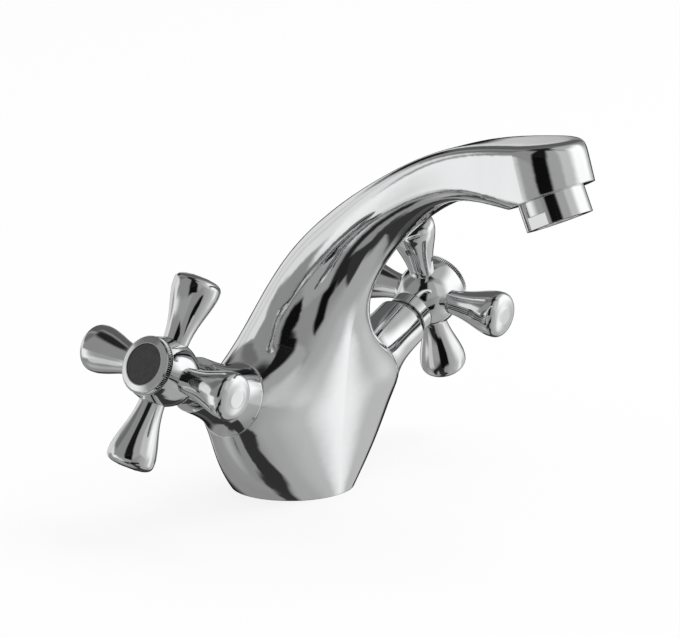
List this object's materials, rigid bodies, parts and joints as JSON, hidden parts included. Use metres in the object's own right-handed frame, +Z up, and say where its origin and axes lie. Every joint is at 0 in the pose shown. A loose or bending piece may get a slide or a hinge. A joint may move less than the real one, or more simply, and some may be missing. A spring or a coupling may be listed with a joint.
{
  "type": "basin mixer tap",
  "caption": "Deck basin mixer with an arched cast spout, screwed aerator, angled shrouded ceramic valves and flared cross handles with knurled index rings.",
  "frame": {"origin": "centre of the round base, on the deck it stands on", "axes": "+Z up, -Y out along the spout, +X towards the cold handle"},
  "size_m": [0.1938, 0.1653, 0.144],
  "materials": {
    "chrome_plate": "polished plate on brass",
    "nickel_brass": "nickel-plated, turned",
    "raw_brass": "turned",
    "stainless_steel": "bright",
    "seal_rubber": "moulded",
    "white_plastic": "moulded",
    "ceramic": "lapped",
    "index_plastic": "smooth, charcoal"
  },
  "bodies": {
    "fixed_body": {"mixer_body": "chrome_plate", "base_gasket": "seal_rubber", "aerator_housing": "chrome_plate", "aerator_insert": "white_plastic", "aerator_screen": "stainless_steel", "aerator_washer": "seal_rubber", "hot_valve_bonnet": "nickel_brass", "hot_bonnet_washer": "seal_rubber", "hot_seat_seal": "seal_rubber", "hot_fixed_disc": "ceramic", "hot_friction_washer": "white_plastic", "hot_shroud": "chrome_plate", "cold_valve_bonnet": "nickel_brass", "cold_bonnet_washer": "seal_rubber", "cold_seat_seal": "seal_rubber", "cold_fixed_disc": "ceramic", "cold_friction_washer": "white_plastic", "cold_shroud": "chrome_plate"},
    "hot_handle": {"hot_turning_disc": "ceramic", "hot_valve_spindle": "raw_brass", "hot_spindle_ring": "seal_rubber", "hot_spindle_clip": "stainless_steel", "hot_handle_hub": "chrome_plate", "hot_arm_1": "chrome_plate", "hot_arm_2": "chrome_plate", "hot_arm_3": "chrome_plate", "hot_arm_4": "chrome_plate", "hot_spline_bush": "white_plastic", "hot_handle_screw": "stainless_steel", "hot_index_ring": "chrome_plate", "hot_index_disc": "index_plastic"},
    "cold_handle": {"cold_turning_disc": "ceramic", "cold_valve_spindle": "raw_brass", "cold_spindle_ring": "seal_rubber", "cold_spindle_clip": "stainless_steel", "cold_handle_hub": "chrome_plate", "cold_arm_1": "chrome_plate", "cold_arm_2": "chrome_plate", "cold_arm_3": "chrome_plate", "cold_arm_4": "chrome_plate", "cold_spline_bush": "white_plastic", "cold_handle_screw": "stainless_steel", "cold_index_ring": "chrome_plate", "cold_index_disc": "index_plastic"}
  },
  "joints": [
    {"name": "hot_handle_turn", "type": "hinge", "parent": "fixed_body", "child": "hot_handle", "pos_m": [0, -0.0047, 0.0222], "axis": [-0.8988, 0, 0.4384], "range_deg": [0, 90]},
    {"name": "cold_handle_turn", "type": "hinge", "parent": "fixed_body", "child": "cold_handle", "pos_m": [0, -0.0047, 0.0222], "axis": [0.8988, 0, 0.4384], "range_deg": [-90, 0]}
  ]
}
